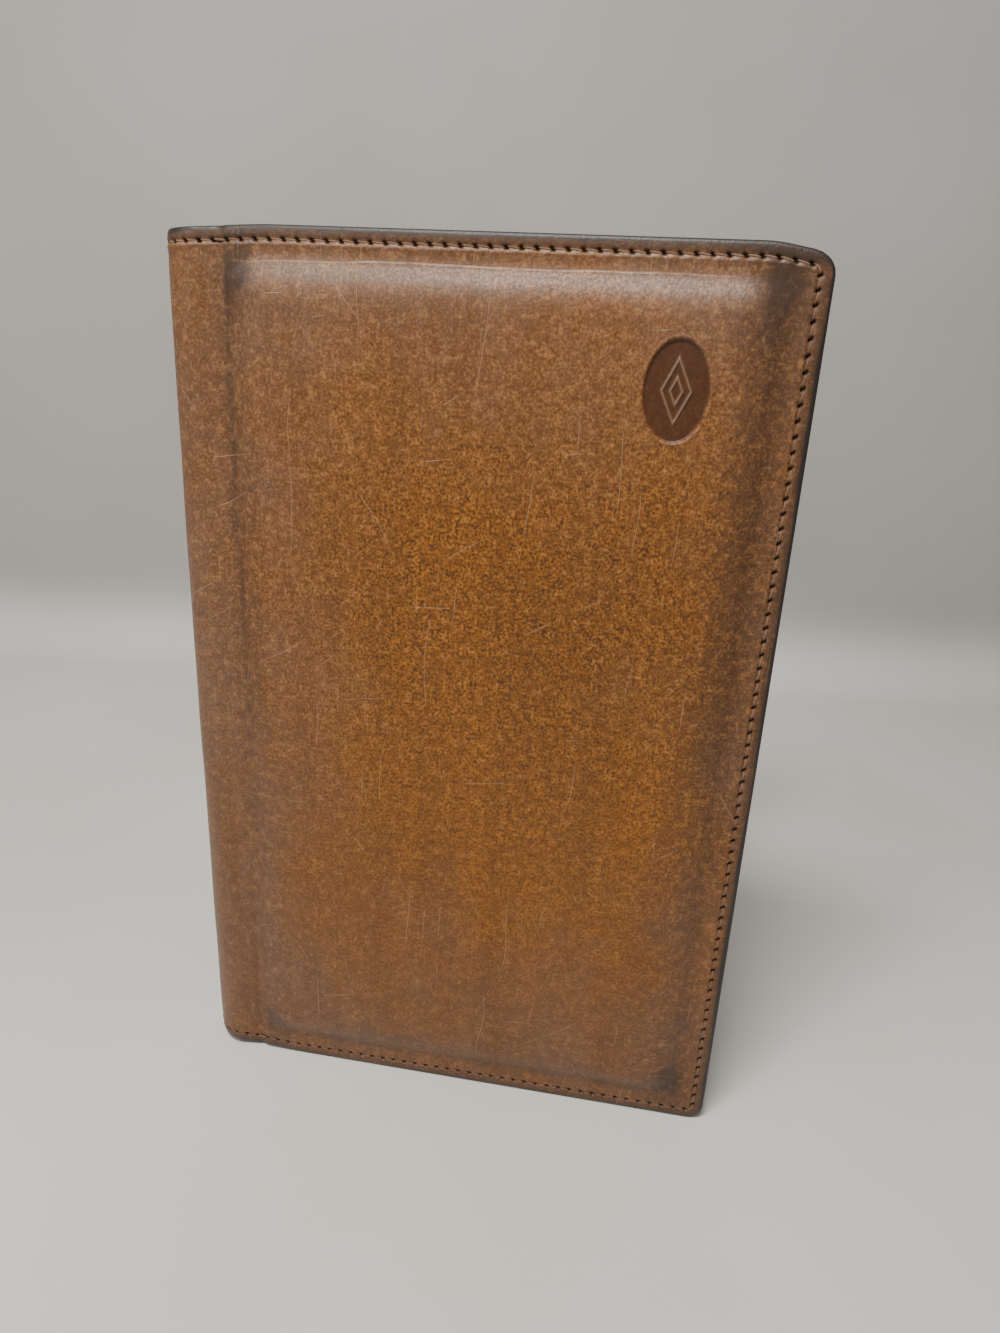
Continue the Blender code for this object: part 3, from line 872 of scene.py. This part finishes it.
def sew_edges(side):
    """The seam round three sides of a hide: what shows of it outside, and inside."""

    def points(distance, across):
        return seam_point(distance * PITCH, across)

    def inside(run, up):
        return inner_face(side, run, up) - INNER_THREAD_RISE

    nodes = [side.name + "_thread"]
    if side.name == "front":
        nodes += ["spine_thread_top", "spine_thread_bottom"]
    outer = sew(side.name + "_stitches", side, points, STITCHES, spine_swell, nodes=nodes)
    inner = sew(side.name + "_inner_stitches", side, points, STITCHES, inside, outwards=-1)
    for piece in (outer, inner):
        bend_at_hinge(piece, side)


def sew_line(name, side, start, end, level):
    """A straight row inside a cover, from start to end as (distance from the hinge line, height)."""
    start, end = np.array(start), np.array(end)
    length = np.linalg.norm(end - start)
    count = round(length / STITCH_LENGTH)
    along = (end - start) / length
    aside = np.array([-along[1], along[0]])

    def points(distance, across):
        place = start[:, None] + np.outer(along, distance * length / count) + np.outer(aside, across)
        return RUN_HINGE + place[0], place[1]

    sew(name, side, points, count, lambda run, up: np.full(len(run), level), outwards=-1, body=side.body)


def sew_pockets(front, back):
    """The rows along the hems, and those that hold the card slots."""
    inset = 1.6 * MM
    left, right = CARD_ACROSS[0] + inset, CARD_ACROSS[1] - inset
    rise = 0.45 * MM
    level, top = POCKET_LIFTS[1] - rise, POCKET_TOP - 5.5 * MM
    sew_line("papers_hem_stitches", front, (9 * MM, top), (COVER_WIDTH - 6 * MM, top), level)
    below = CARD_FOOT
    for name, lifts, top in zip(("lower", "middle", "upper"), CARD_LIFTS[::-1], CARD_TOPS[::-1]):
        for side_name, x in (("left", left), ("right", right)):
            row = f"cards_{name}_{side_name}_stitches"
            sew_line(row, front, (x, below + 1 * MM), (x, top - 0.5 * MM), lifts[1] - rise)
        below = top
    foot = CARD_FOOT + inset
    sew_line("cards_foot_stitches", front, (left, foot), (right, foot), CARD_LIFTS[-1][1] - rise)
    level, top = PAD_PANEL_LIFTS[1] - PAD_HEM_THREAD_RISE, PAD_PANEL_TOP - 6.5 * MM
    sew_line("pad_hem_stitches", back, (11 * MM, top), (COVER_WIDTH - 8 * MM, top), level)


# --- pad and pen loop


def make_pad(side):
    """The writing pad: a board, a block of separate sheets, and the tape over its top edge."""
    outline = Outline(across_cover(PAD_ACROSS), PAD_UP, 1 * MM, 1 * MM)
    place = (side, outline, BACKBOARD_LIFTS, "greyboard", ["pad_backboard"], "pad")
    slab("backing_board", *place, reach=0.3 * MM)
    top, foot = PAPER_LIFTS
    thickness = (top - foot) / PAPER_SHEETS
    (left, right), (low, high) = across_cover(PAD_ACROSS), PAD_UP
    body = bmesh.new()
    for i in range(PAPER_SHEETS):
        aside, upwards = 0.14 * MM * math.sin(i * 2.4), 0.14 * MM * math.sin(i * 1.7 + 1)
        curl = 0.5 * MM * max(i - PAPER_SHEETS + 3, 0)
        runs, ups = np.linspace(left + aside, right + aside, 9), np.linspace(low + upwards, high, 9)
        x, z = (values.ravel() for values in np.meshgrid(runs, ups, indexing="ij"))
        corner = np.clip(1 - np.hypot(x - right, z - low) / (30 * MM), 0, 1) ** 2
        lifts = (top - i * thickness, top - (i + 0.82) * thickness)
        over, under = (side.place(x, z, lift - curl * corner).reshape(9, 9, 3) for lift in lifts)
        loft(body, np.hstack((over, under[:, ::-1])))
    mesh = mesh_of("writing_sheets", body)
    new_piece("writing_sheets", mesh, "paper", ["pad_sheets"], "pad")
    mesh.shade_flat()
    make_tape(side)


def make_tape(side):
    """Book cloth folded over the top of the pad, from the back of its board to the front of its paper."""
    back, front = BACKBOARD_LIFTS[0] + 0.05 * MM, PAPER_LIFTS[1] - 0.15 * MM
    low, high = PAD_UP[1] - TAPE_DROP, PAD_UP[1] + 0.15 * MM
    bend = 0.5 * MM
    path = [(back, high - 6 * MM), (back, high - bend)]
    path += [(back - bend * 0.3, high - bend * 0.3), (back - bend, high)]
    path += [(front + bend, high), (front + bend * 0.3, high - bend * 0.3)]
    path += [(front, high - bend), (front, low + 3 * MM), (front, low)]
    path = np.array(path)
    tangent = np.gradient(path, axis=0)
    normal = np.column_stack([-tangent[:, 1], tangent[:, 0]])
    normal /= np.linalg.norm(normal, axis=1, keepdims=True)
    if normal[4, 1] < 0:
        normal = -normal
    lifts, ups = np.vstack([path, (path + normal * TAPE)[::-1]]).T
    body = bmesh.new()
    runs = spaced(*across_cover(PAD_ACROSS), 6 * MM)
    loft(body, [side.place(np.full(len(ups), run), ups, lifts) for run in runs])
    mesh = mesh_of("top_tape", body)
    new_piece("top_tape", mesh, "binding_tape", ["pad_binding"], "pad")
    mesh.set_sharp_from_angle(angle=math.radians(40))


def make_pen_loop():
    """A leather loop, drawn in a little where it is sewn to the spine, with rolled rims."""
    low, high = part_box("pen_loop")
    centre = (low + high) / 2
    radius = (high.y - low.y) / 2
    length = high.z - low.z
    wall = 0.7 * MM
    profile = ((0, 0.35), (0.15, 0.1), (0.5, 0), (4, 0), (4.6, 0.12), (5.2, 0))
    rising = [(up * MM, inset * MM) for up, inset in profile]
    rising += [(length - up, inset) for up, inset in rising[::-1]]
    faces = [(up, radius - inset) for up, inset in rising]
    faces += [(up, radius - wall + inset * 0.8) for up, inset in rising[::-1]]
    angles = [2 * math.pi * i / 48 for i in range(48)]
    rings = []
    for up, distance in faces:
        rings.append([])
        for angle in angles:
            back = max(-math.cos(angle), 0) ** 6
            reach = distance * (1 + 0.02 * math.cos(2 * angle)) - 0.25 * MM * back
            rings[-1].append((centre.x + reach * math.cos(angle), reach * math.sin(angle), low.z + up))
    body = bmesh.new()
    loft(body, rings, closed=True)
    new_piece("pen_holder", mesh_of("pen_holder", body), "pocket_leather", ["pen_loop"], "spine")


# --- materials


class Shader:
    """A material's node tree, with short calls for the nodes that its patterns need."""

    def __init__(self, name):
        self.material = bpy.data.materials.new(name)
        self.material.use_nodes = True
        self.tree = self.material.node_tree
        self.principled = self.tree.nodes["Principled BSDF"]

    def node(self, kind, **inputs):
        node = self.tree.nodes.new("ShaderNode" + kind)
        for name, value in inputs.items():
            self.put(node.inputs[name.replace("_", " ")], value)
        return node

    def put(self, socket, value):
        if isinstance(value, bpy.types.NodeSocket):
            self.tree.links.new(value, socket)
        else:
            socket.default_value = value

    def math(self, operation, a, b=0.0, clamp=False):
        node = self.node("Math")
        node.operation = operation
        node.use_clamp = clamp
        self.put(node.inputs[0], a)
        self.put(node.inputs[1], b)
        return node.outputs[0]

    def plus(self, a, b):
        return self.math("ADD", a, b)

    def minus(self, a, b):
        return self.math("SUBTRACT", a, b)

    def times(self, a, b):
        return self.math("MULTIPLY", a, b)

    def attribute(self, name, output="Fac"):
        node = self.node("Attribute")
        node.attribute_name = name
        return node.outputs[output]

    def place(self):
        return self.node("TexCoord").outputs["Object"]

    def part(self, vector, axis):
        return self.node("SeparateXYZ", Vector=vector).outputs[axis]

    def noise(self, vector, scale, detail=3.0, roughness=0.6, stretch=(1, 1, 1)):
        place = self.node("Mapping", Vector=vector, Scale=stretch).outputs[0]
        noise = self.node("TexNoise", Vector=place, Scale=scale, Detail=detail, Roughness=roughness)
        return noise.outputs["Fac"]

    def ramp(self, value, low, high, to_low=0.0, to_high=1.0, smooth=False):
        node = self.node("MapRange")
        node.interpolation_type = "SMOOTHSTEP" if smooth else "LINEAR"
        for socket, number in zip(node.inputs, (value, low, high, to_low, to_high)):
            self.put(socket, number)
        return node.outputs[0]

    def mix(self, factor, a, b, blend="MIX"):
        node = self.node("Mix")
        node.data_type = "RGBA"
        node.blend_type = blend
        self.put(node.inputs["Factor"], factor)
        for socket, value in ((node.inputs[6], a), (node.inputs[7], b)):
            self.put(socket, value if isinstance(value, bpy.types.NodeSocket) else (*value, 1))
        return node.outputs[2]

    def layers(self, colour, *above):
        """Mixes colours over one another, each given as (factor, colour)."""
        for factor, over in above:
            colour = self.mix(factor, colour, over)
        return colour

    def bump(self, height, distance, strength=1.0):
        return self.node("Bump", Height=height, Distance=distance, Strength=strength).outputs[0]

    def scratches(self, place):
        """Fine light scratches in a few directions, each set showing only in patches."""
        wobble = self.times(self.minus(self.noise(place, 22, 2, 0.5), 0.5), 9 * MM)
        total = 0.0
        for turn, spacing, length, amount in SCRATCHES:
            turned = self.node("Mapping", Vector=place, Rotation=(0, 0, math.radians(turn))).outputs[0]
            lines = self.math("DIVIDE", self.plus(self.part(turned, "X"), wobble), spacing)
            middle = self.minus(self.math("FRACT", lines), 0.5)
            off_line = self.times(self.math("ABSOLUTE", middle), spacing)
            line = self.ramp(off_line, 0.16 * MM, 0.04 * MM)
            where = self.noise(turned, 0.7 / spacing, 2, 0.5, (1, spacing / length, 1))
            total = self.plus(total, self.times(line, self.ramp(where, amount, amount + 0.05)))
        return self.math("MINIMUM", total, 1.0)

    def wrinkle_and_highlight(self, place, height):
        """The fine fold that runs along the foot of the padding's top shoulder, painted pale partly as a
        highlight, strongest half way across where the light catches it.
        """
        sway = self.times(self.minus(self.noise(place, 25, 2, 0.5), 0.5), 3 * MM)
        off_line = self.math("ABSOLUTE", self.minus(self.plus(height, sway), WRINKLE_HIGHLIGHT_UP))
        line = self.ramp(off_line, 0.34 * MM, 0.1 * MM)
        off_middle = self.math("ABSOLUTE", self.minus(self.part(place, "X"), RUN_END / 2))
        shown = self.ramp(off_middle, 0.4 * RUN_END, 0.18 * RUN_END, 0, 1.6)
        worn = self.ramp(self.noise(place, 130, 3, 0.6), 0.36, 0.6, 0.25, 1)
        return self.times(line, self.times(shown, worn))

    def finish(self, colour, roughness, normal=None, **constants):
        self.put(self.principled.inputs["Base Color"], colour)
        self.put(self.principled.inputs["Roughness"], roughness)
        if normal is not None:
            self.put(self.principled.inputs["Normal"], normal)
        for name, value in constants.items():
            self.principled.inputs[name.replace("_", " ")].default_value = value
        return self.material


def tan_leather():
    """Waxed tan hide: mottled golden brown, pinker towards its margins and partly a painted sheen at its top,
    dark where its edge is burnished, with painted shade in its needle holes, creases and towards its foot.
    """
    shader = Shader("tan_leather")
    times, plus, ramp = shader.times, shader.plus, shader.ramp
    place = shader.attribute("pattern", "Vector")
    height = shader.part(place, "Y")
    patches = shader.noise(place, 30, 4, 0.6, (1, 0.8, 1))
    streaks = shader.noise(place, 90, 4, 0.6, (1, 0.12, 1))
    blotches = shader.noise(place, 170, 5, 0.7)
    mottle = shader.noise(place, 520, 4, 0.7, (1, 0.8, 1))
    specks = shader.noise(place, 1450, 4, 0.75, (1, 0.85, 1))
    uneven = times(shader.minus(patches, 0.5), 1.6)
    rosy = shader.math("ADD", shader.attribute("rosy"), uneven, clamp=True)
    tone = ramp(blotches, 0.38, 0.62)
    upper = ramp(height, 0.06, 0.15, 0.8, 1.3)
    speckled = times(ramp(rosy, 0, 1, 1, 0.4), ramp(blotches, 0.35, 0.6, 0.55, 1))
    speckled = times(speckled, upper)
    smudge = plus(shader.attribute("smudge"), times(uneven, 0.25))
    smudge = plus(smudge, ramp(mottle, 0.35, 0.65, -0.15, 0.15))
    # Scratches, and the painted highlight along the fold under the padding's top shoulder.
    scratches = plus(shader.scratches(place), shader.wrinkle_and_highlight(place, height))
    wander = plus(shader.attribute("edge"), times(uneven, 1.5 * MM))
    colour = shader.layers(
        shader.mix(rosy, shader.mix(tone, GOLDEN_DARK, GOLDEN), shader.mix(tone, ROSE_DARK, ROSE)),
        (ramp(streaks, 0.44, 0.7, 0, 0.45), UMBER),
        # Painted shade: the hide darkens towards its foot, as the light falls off.
        (ramp(height, 0.14, 0.01, 0, 0.24), UMBER),
        (times(ramp(mottle, 0.455, 0.63, 0, 0.82), speckled), UMBER),
        (times(ramp(mottle, 0.46, 0.32, 0, 0.36), upper), PALE),
        (times(ramp(specks, 0.465, 0.62, 0, 0.9), speckled), SPECK),
        (times(ramp(specks, 0.46, 0.32, 0, 0.4), upper), PALE),
        # Smudges and painted shade.
        (ramp(smudge, 0.12, 1, 0, 0.85), SMUDGE_AND_SHADE),
        # Pale scratches, and the fold's painted highlight.
        (times(scratches, 0.3), SCRATCH_AND_HIGHLIGHT),
        (times(shader.attribute("stamp"), 0.82), STAMPED),
        (times(shader.attribute("mark"), 0.3), SCRATCH_AND_HIGHLIGHT),
        # Painted shade in the needle holes.
        (shader.attribute("hole"), (0.01, 0.005, 0.003)),
        (ramp(wander, 3.4 * MM, 1.2 * MM, 0, 0.6), SMUDGE_AND_SHADE),
        (ramp(wander, 1.35 * MM, 0.7 * MM, smooth=True), EDGE_BLACK),
    )
    grain = shader.minus(plus(times(mottle, 0.9), times(specks, 0.8)), times(scratches, 0.5))
    roughness = plus(ramp(specks, 0.35, 0.65, 0.32, 0.5), ramp(rosy, 0, 1, 0.06, 0))
    return shader.finish(colour, roughness, shader.bump(grain, 0.13 * MM, 0.8), Specular_IOR_Level=0.36)


def pocket_leather():
    """Thinner, smoother leather for the pockets and the pen loop."""
    shader = Shader("pocket_leather")
    place = shader.place()
    patches = shader.noise(place, 40, 3, 0.5)
    pebbles = shader.noise(place, 900, 4, 0.65)
    colour = shader.layers(
        shader.mix(shader.ramp(patches, 0.35, 0.65), (0.15, 0.058, 0.02), (0.23, 0.095, 0.034)),
        (shader.ramp(pebbles, 0.5, 0.7, 0, 0.5), (0.07, 0.026, 0.01)),
        (shader.ramp(pebbles, 0.45, 0.3, 0, 0.3), (0.36, 0.18, 0.075)),
    )
    normal = shader.bump(pebbles, 0.1 * MM, 0.6)
    return shader.finish(colour, shader.ramp(patches, 0.3, 0.7, 0.42, 0.55), normal, Specular_IOR_Level=0.4)


def lining_cloth():
    """Brown twill, with its ribs at 45 degrees."""
    shader = Shader("lining_cloth")
    place = shader.attribute("pattern", "Vector")
    turned = shader.node("Mapping", Vector=place, Rotation=(0, 0, math.radians(45))).outputs[0]
    ribs = shader.node("TexWave", Vector=turned, Scale=270, Distortion=0.6, Detail=1).outputs["Fac"]
    yarn = shader.noise(place, 2600, 2, 0.6)
    colour = shader.layers(
        shader.mix(ribs, (0.05, 0.026, 0.014), (0.13, 0.07, 0.038)),
        (shader.ramp(shader.noise(place, 30, 3, 0.5), 0.4, 0.7, 0, 0.35), (0.17, 0.105, 0.065)),
        (shader.ramp(yarn, 0.4, 0.7, 0, 0.35), (0.04, 0.02, 0.012)),
    )
    normal = shader.bump(shader.plus(ribs, yarn), 0.12 * MM, 0.8)
    return shader.finish(colour, 0.85, normal, Sheen_Weight=0.25, Sheen_Roughness=0.5)


def sewing_thread():
    """Waxed thread: dirty in patches, with painted shade where it dips into a hole."""
    shader = Shader("sewing_thread")
    place = shader.place()
    fibre = shader.noise(place, 2600, 2, 0.6)
    colour = shader.layers(
        shader.mix(fibre, (0.12, 0.066, 0.04), (0.29, 0.175, 0.11)),
        (shader.ramp(shader.noise(place, 60, 2, 0.5), 0.4, 0.65, 0, 0.4), (0.07, 0.038, 0.024)),
        # Painted shade where the thread dips into its holes.
        (shader.attribute("deep"), (0.012, 0.007, 0.004)),
    )
    return shader.finish(colour, 0.8, shader.bump(fibre, 0.1 * MM, 0.7), Specular_IOR_Level=0.12)


def paper():
    """Writing paper with faint ruled lines."""
    shader = Shader("ruled_paper")
    place = shader.place()
    part = shader.math("FRACT", shader.math("DIVIDE", shader.part(place, "Z"), RULED_SPACING))
    line = shader.math("LESS_THAN", shader.math("ABSOLUTE", shader.minus(part, 0.5)), 0.022)
    fibre = shader.noise(place, 900, 4, 0.6)
    colour = shader.mix(fibre, (0.74, 0.72, 0.66), (0.84, 0.83, 0.78))
    colour = shader.mix(shader.times(line, 0.45), colour, (0.35, 0.45, 0.58))
    return shader.finish(colour, 0.8, shader.bump(fibre, 0.03 * MM, 0.5))


def greyboard():
    shader = Shader("greyboard")
    place = shader.place()
    pulp = shader.noise(place, 700, 5, 0.7)
    flecks = shader.noise(place, 2200, 2, 0.6)
    colour = shader.mix(pulp, (0.27, 0.245, 0.205), (0.42, 0.39, 0.335))
    colour = shader.mix(shader.ramp(flecks, 0.62, 0.72, 0, 0.6), colour, (0.16, 0.14, 0.12))
    return shader.finish(colour, 0.9, shader.bump(pulp, 0.08 * MM, 0.6))


def foam():
    shader = Shader("foam")
    cells = shader.node("TexVoronoi", Vector=shader.place(), Scale=1400).outputs["Distance"]
    colour = shader.mix(cells, (0.82, 0.8, 0.74), (0.6, 0.58, 0.52))
    return shader.finish(colour, 0.95, shader.bump(cells, 0.2 * MM, 0.8))


def binding_tape():
    """Glued book cloth with a fine square weave."""
    shader = Shader("binding_tape")
    place = shader.place()
    waves = []
    for direction in ("X", "Z"):
        wave = shader.node("TexWave", Vector=place, Scale=420, Distortion=0.4, Detail=1)
        wave.bands_direction = direction
        waves.append(wave.outputs["Fac"])
    weave = shader.times(*waves)
    colour = shader.mix(weave, (0.05, 0.018, 0.012), (0.15, 0.06, 0.042))
    return shader.finish(colour, 0.65, shader.bump(weave, 0.08 * MM, 0.8), Sheen_Weight=0.15)


def pale_stage():
    """A matt stage surface, with a slight unevenness, darker up its wall."""
    shader = Shader("pale_stage")
    place = shader.place()
    soft = shader.noise(place, 5, 3, 0.5)
    darker, on_wall = (tuple(share * value for value in FLOOR) for share in (0.95, WALL_TONE))
    rising = shader.ramp(shader.part(place, "Z"), 0, 1.5 * WALL_CURVE, smooth=True)
    colour = shader.mix(rising, FLOOR, on_wall)
    return shader.finish(shader.mix(soft, colour, darker, "MULTIPLY"), 0.7)


MATERIALS = {
    "tan_leather": tan_leather(),
    "thread": sewing_thread(),
    "lining": lining_cloth(),
    "pocket_leather": pocket_leather(),
    "greyboard": greyboard(),
    "foam": foam(),
    "paper": paper(),
    "binding_tape": binding_tape(),
}


# --- stage


def make_stage(front):
    """A pale floor that curves up into a pale wall, square to the camera."""
    away = Vector((*(-front.outward - 0.15 * front.along), 0)).normalized()
    aside = Vector((away.y, -away.x, 0))
    profile = [(-3.0, 0.0)]
    for i in range(13):
        angle = math.pi / 2 * i / 12
        distance = WALL_DISTANCE - WALL_CURVE + WALL_CURVE * math.sin(angle)
        profile.append((distance, WALL_CURVE * (1 - math.cos(angle))))
    profile.append((WALL_DISTANCE, 2.5))
    body = bmesh.new()
    rows = []
    for distance, height in profile:
        middle = away * distance + Vector((0, 0, height))
        rows.append([body.verts.new(middle + aside * x) for x in (-3, 3)])
    for a, b in zip(rows, rows[1:]):
        body.faces.new((a[0], a[1], b[1], b[0]))
    mesh = mesh_of("stage_floor", body)
    mesh.materials.append(pale_stage())
    mesh.shade_smooth()
    add_object("stage_floor", mesh)


def make_light(name, energy, place, aim, size, colour):
    data = bpy.data.lights.new(name, "AREA")
    data.energy = energy
    data.color = colour
    data.shape = "RECTANGLE"
    data.size, data.size_y = size
    light = add_object(name, data)
    light.location = place
    light.rotation_euler = (Vector(aim) - Vector(place)).to_track_quat("-Z", "Y").to_euler()


def light_scene():
    world = bpy.data.worlds.new("studio")
    bpy.context.scene.world = world
    world.use_nodes = True
    background = world.node_tree.nodes["Background"].inputs
    background["Color"].default_value = (0.92, 0.95, 1, 1)
    background["Strength"].default_value = 0.3
    ridge = (-0.01, -0.05, HEIGHT)
    make_light("key", 5.4, (-0.13, -0.29, 0.7), ridge, (0.24, 0.1), (1, 0.97, 0.93))
    make_light("side", 3, (-0.7, -0.45, 0.7), (0, 0, HEIGHT / 2), (0.4, 0.4), (1, 0.98, 0.95))
    make_light("wall", 1.8, (-0.5, -0.3, 1.2), (0.1, 0.4, 0.2), (0.8, 0.8), (1, 1, 1))


# The camera, from the front cover: along it from its free edge, out of it, and down from its top
CAMERA_IN_FROM_EDGE = 34.6 * MM
CAMERA_OUT = 216.2 * MM
CAMERA_BELOW_TOP = 22.4 * MM
CAMERA_LOOK = (-0.1427, -0.9289, -0.3416)  # along the cover, out of it, up
CAMERA_ROLL = math.radians(2.84)
CAMERA_LENS = 24.3


def make_camera(front):
    data = bpy.data.cameras.new("camera")
    data.sensor_width = 36
    data.lens = CAMERA_LENS
    camera = add_object("camera", data)
    along, outward = Vector((*front.along, 0)), Vector((*front.outward, 0))
    hinge = Vector((*front.hinge, 0))
    camera.location = (
        hinge
        + along * (COVER_WIDTH - CAMERA_IN_FROM_EDGE)
        + outward * (HALF_LEATHER + CAMERA_OUT)
        + Vector((0, 0, HEIGHT - CAMERA_BELOW_TOP))
    )
    look = along * CAMERA_LOOK[0] + outward * CAMERA_LOOK[1] + Vector((0, 0, CAMERA_LOOK[2]))
    turn = look.to_track_quat("-Z", "Y").to_matrix() @ Matrix.Rotation(CAMERA_ROLL, 3, "Z")
    camera.rotation_euler = turn.to_euler()
    bpy.context.scene.camera = camera


def main():
    front, back = Side("front", -1), Side("back", 1)
    make_camera(front)
    for side in (front, back):
        make_hide(side)
        sew_edges(side)
        make_padding(side)
        make_core(side)
        make_lining(side)
        make_stiffener(side)
    make_pockets(front, back)
    sew_pockets(front, back)
    make_pad(back)
    make_pen_loop()
    make_stage(front)
    light_scene()


main()
